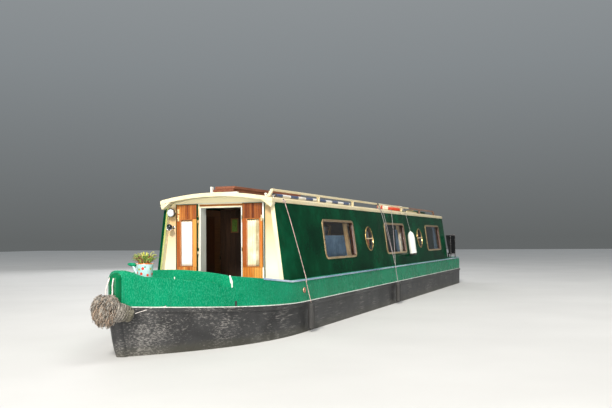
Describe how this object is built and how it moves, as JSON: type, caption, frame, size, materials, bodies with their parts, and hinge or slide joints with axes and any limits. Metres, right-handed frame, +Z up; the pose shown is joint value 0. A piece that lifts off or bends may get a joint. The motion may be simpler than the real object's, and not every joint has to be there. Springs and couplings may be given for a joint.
{
  "type": "steel canal narrowboat",
  "caption": "Flat-bottomed steel canal boat with a long windowed cabin, open front well deck, hinged doors, sliding rear hatch, tiller-steered rudder and propeller.",
  "frame": {"origin": "underside of the base plate, on the centreline, halfway between stem and stern of the steel hull", "axes": "+X forward to the bow, +Y to port, +Z up"},
  "size_m": [14.178, 2.211, 2.46],
  "materials": {
    "hull_green": "gloss",
    "cabin_green": "gloss",
    "bitumen": "matt, scuffed",
    "cream": "satin",
    "varnished_wood": "varnished",
    "brass": "satin",
    "window_glass": "clear",
    "chrome": "polished",
    "roof_timber": "weathered",
    "white_paint": "satin",
    "rope": "coarse fibre",
    "lifebuoy_red": "satin",
    "floor_wood": "oiled",
    "engine_paint": "painted",
    "bronze": "dull",
    "black_paint": "satin"
  },
  "bodies": {
    "hull": {"stem_post": "hull_green", "counter_band": "hull_green", "foredeck": "hull_green", "foredeck_board": "hull_green", "well_deck_floor": "hull_green", "stern_deck": "hull_green", "hull_side_port": "hull_green", "hull_side_starboard": "hull_green", "cabin_side_port": "cabin_green", "cabin_side_starboard": "cabin_green", "rear_bulkhead": "cabin_green", "base_plate": "bitumen", "counter_plate": "bitumen", "skeg": "bitumen", "swim_port": "bitumen", "swim_starboard": "bitumen", "front_bulkhead": "cream", "roof": "cream", "handrail_port": "cream", "handrail_starboard": "cream", "window_1_frame_port": "brass", "window_1_frame_starboard": "brass", "window_2_frame_port": "brass", "window_2_frame_starboard": "brass", "window_3_frame_port": "brass", "window_3_frame_starboard": "brass", "porthole_1_port": "brass", "porthole_1_starboard": "brass", "porthole_2_port": "brass", "porthole_2_starboard": "brass", "window_1_pane_port": "window_glass", "window_1_pane_starboard": "window_glass", "window_2_pane_port": "window_glass", "window_2_pane_starboard": "window_glass", "window_3_pane_port": "window_glass", "window_3_pane_starboard": "window_glass", "headlamp": "chrome", "horn": "chrome", "gangplank": "roof_timber", "boat_pole": "roof_timber", "plank_rack": "white_paint", "cabin_fender": "white_paint", "watering_can": "white_paint", "bow_fender": "rope", "side_fender_fore": "rope", "side_fender_aft": "rope", "lifebuoy": "lifebuoy_red", "cabin_floor": "floor_wood", "engine": "engine_paint", "stern_screen_port": "black_paint", "stern_screen_starboard": "black_paint"},
    "front_door_port": {"front_door_port": "varnished_wood"},
    "front_door_starboard": {"front_door_starboard": "varnished_wood"},
    "rear_door_port": {"rear_door_port": "varnished_wood"},
    "rear_door_starboard": {"rear_door_starboard": "varnished_wood"},
    "rear_hatch": {"rear_hatch": "cabin_green"},
    "deck_lid": {"deck_lid": "hull_green"},
    "rudder": {"rudder": "bitumen", "tiller": "brass"},
    "propeller": {"propeller": "bronze"}
  },
  "joints": [
    {"name": "front_door_port_hinge", "type": "hinge", "parent": "hull", "child": "front_door_port", "pos_m": [4.6675, 0.322, 1.2], "axis": [0, 0, -1], "range_deg": [0, 180]},
    {"name": "front_door_starboard_hinge", "type": "hinge", "parent": "hull", "child": "front_door_starboard", "pos_m": [4.6675, -0.322, 1.2], "axis": [0, 0, 1], "range_deg": [0, 180]},
    {"name": "rear_door_port_hinge", "type": "hinge", "parent": "hull", "child": "rear_door_port", "pos_m": [-5.4875, 0.322, 1.3], "axis": [0, 0, -1], "range_deg": [0, 170]},
    {"name": "rear_door_starboard_hinge", "type": "hinge", "parent": "hull", "child": "rear_door_starboard", "pos_m": [-5.4875, -0.322, 1.3], "axis": [0, 0, 1], "range_deg": [0, 170]},
    {"name": "rear_hatch_slide", "type": "slide", "parent": "hull", "child": "rear_hatch", "axis": [1, 0, 0], "range_m": [0, 0.78]},
    {"name": "deck_lid_hinge", "type": "hinge", "parent": "hull", "child": "deck_lid", "pos_m": [-5.853, 0, 1.234], "axis": [0, 1, 0], "range_deg": [0, 85]},
    {"name": "rudder_turn", "type": "hinge", "parent": "hull", "child": "rudder", "pos_m": [-6.72, 0, 0.3], "axis": [0, 0, 1], "range_deg": [-40, 40]},
    {"name": "propeller_spin", "type": "hinge", "parent": "hull", "child": "propeller", "pos_m": [-6.5, 0, 0.29], "axis": [1, 0, 0], "continuous": true}
  ]
}
